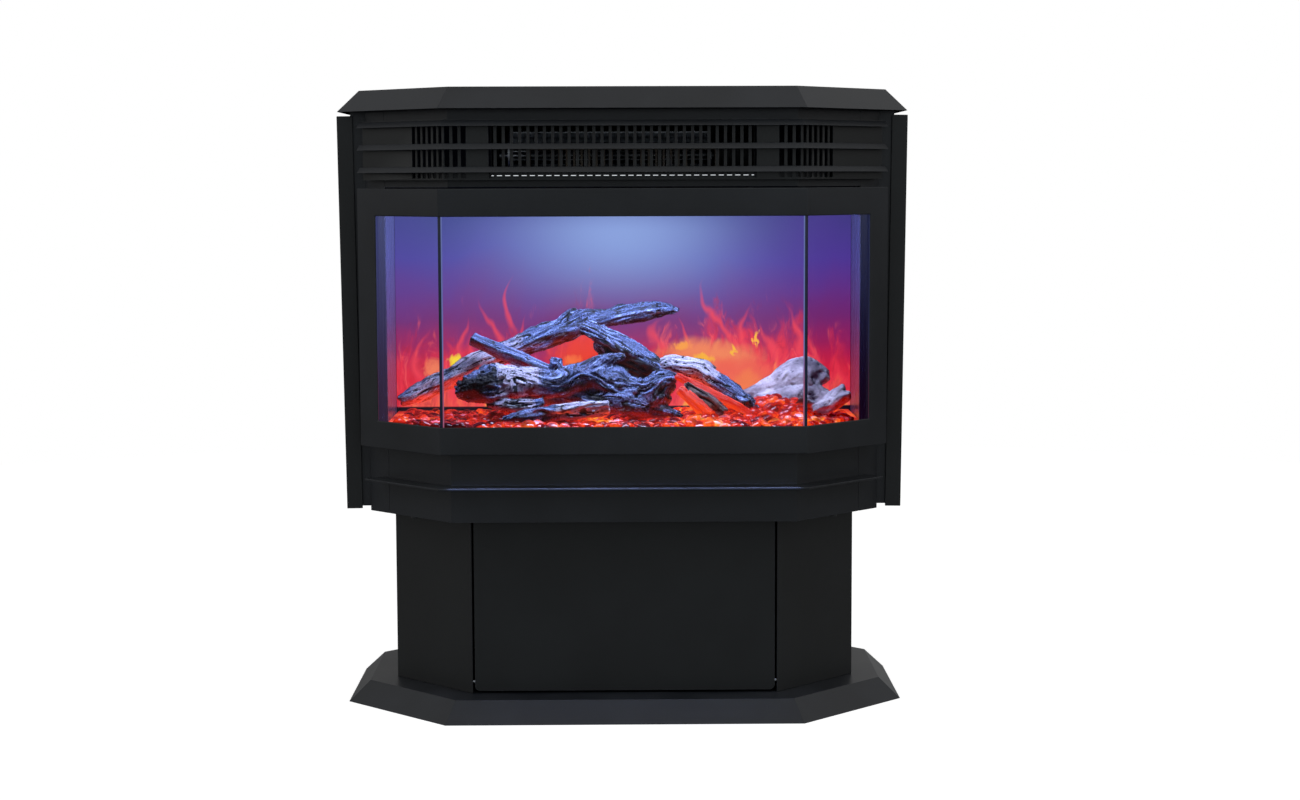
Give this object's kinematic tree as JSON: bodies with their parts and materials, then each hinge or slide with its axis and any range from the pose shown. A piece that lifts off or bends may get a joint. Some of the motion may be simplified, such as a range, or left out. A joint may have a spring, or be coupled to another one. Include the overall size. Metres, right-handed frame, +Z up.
{
  "type": "electric fireplace",
  "caption": "Freestanding electric fireplace with a bay-front window, driftwood log set, louvred hood and a pedestal with a drop-down access door.",
  "frame": {"origin": "middle of the bounding footprint on the floor", "axes": "+Z up, -Y towards the viewer (the bay front), +X to the viewer's right"},
  "size_m": [0.6706, 0.368, 0.727],
  "materials": {
    "black_powder_coat": "satin",
    "satin_powder_coat": "satin",
    "zinc_steel": "satin",
    "black_plastic": "matte",
    "black_screw": "satin",
    "window_glass": "gloss",
    "joint_seal": "satin",
    "firebox_lining": "matte",
    "flame_screen_film": "satin",
    "tray_acrylic": "satin",
    "bead_glass": "gloss",
    "led_board": "matte",
    "driftwood": "matte",
    "pale_driftwood": "matte"
  },
  "bodies": {
    "root": {"plinth": "satin_powder_coat", "pedestal_left_panel": "black_powder_coat", "pedestal_right_panel": "black_powder_coat", "pedestal_back_panel": "black_powder_coat", "pedestal_top_plate": "black_powder_coat", "door_hinge_pins": "zinc_steel", "door_magnets": "black_plastic", "control_panel": "black_powder_coat", "switch_bodies": "black_plastic", "body_base_pan": "black_powder_coat", "lower_apron": "satin_powder_coat", "ledge_shelf": "satin_powder_coat", "side_casing_left": "satin_powder_coat", "side_casing_right": "satin_powder_coat", "rear_panel": "black_powder_coat", "header_panel": "satin_powder_coat", "grille_panel": "black_powder_coat", "louver_lower": "satin_powder_coat", "louver_middle": "satin_powder_coat", "louver_upper": "satin_powder_coat", "hood": "satin_powder_coat", "window_frame": "satin_powder_coat", "glass_center": "window_glass", "glass_left": "window_glass", "glass_right": "window_glass", "glass_joint_seals": "joint_seal", "cheek_panel_left": "black_powder_coat", "cheek_panel_right": "black_powder_coat", "cheek_standoffs": "black_powder_coat", "firebox_floor": "zinc_steel", "firebox_liner_left": "firebox_lining", "firebox_liner_right": "firebox_lining", "firebox_roof": "firebox_lining", "flame_screen": "flame_screen_film", "ember_tray": "tray_acrylic", "ember_glass_bed": "bead_glass", "flicker_motor": "zinc_steel", "spindle_bushing": "black_plastic", "led_boards": "led_board", "heater_housing": "zinc_steel", "heating_element": "zinc_steel", "blower_motor": "zinc_steel", "control_board_box": "black_plastic", "cord_inlet": "black_plastic", "casing_screws": "black_screw", "log_back": "driftwood", "log_left_stick": "driftwood", "log_right_diagonal": "driftwood", "driftwood_center": "driftwood", "log_front_stick": "driftwood", "log_right_front": "driftwood", "log_under_right": "driftwood", "driftwood_right": "pale_driftwood", "stone_right": "pale_driftwood"},
    "door": {"access_door": "black_powder_coat"},
    "power_rocker_body": {"power_rocker": "black_plastic"},
    "heat_rocker_body": {"heat_rocker": "black_plastic"},
    "knob": {"brightness_knob": "black_plastic"},
    "spindle": {"flicker_spindle": "zinc_steel"},
    "blower": {"blower_wheel": "zinc_steel"}
  },
  "joints": [
    {"name": "door_hinge", "type": "hinge", "parent": "root", "child": "door", "pos_m": [0, -0.1195, 0.037], "axis": [1, 0, 0], "range_deg": [0, 90]},
    {"name": "power_switch", "type": "hinge", "parent": "root", "child": "power_rocker_body", "pos_m": [-0.06, -0.087, 0.19], "axis": [1, 0, 0], "range_deg": [0, 16]},
    {"name": "heat_switch", "type": "hinge", "parent": "root", "child": "heat_rocker_body", "pos_m": [0, -0.087, 0.19], "axis": [1, 0, 0], "range_deg": [0, 16]},
    {"name": "brightness_turn", "type": "hinge", "parent": "root", "child": "knob", "pos_m": [0.06, -0.095, 0.19], "axis": [0, 1, 0], "range_deg": [0, 280]},
    {"name": "spindle_turn", "type": "hinge", "parent": "root", "child": "spindle", "pos_m": [0, 0.084, 0.352], "axis": [1, 0, 0], "continuous": true},
    {"name": "blower_turn", "type": "hinge", "parent": "root", "child": "blower", "pos_m": [0, -0.084, 0.65], "axis": [1, 0, 0], "continuous": true}
  ]
}
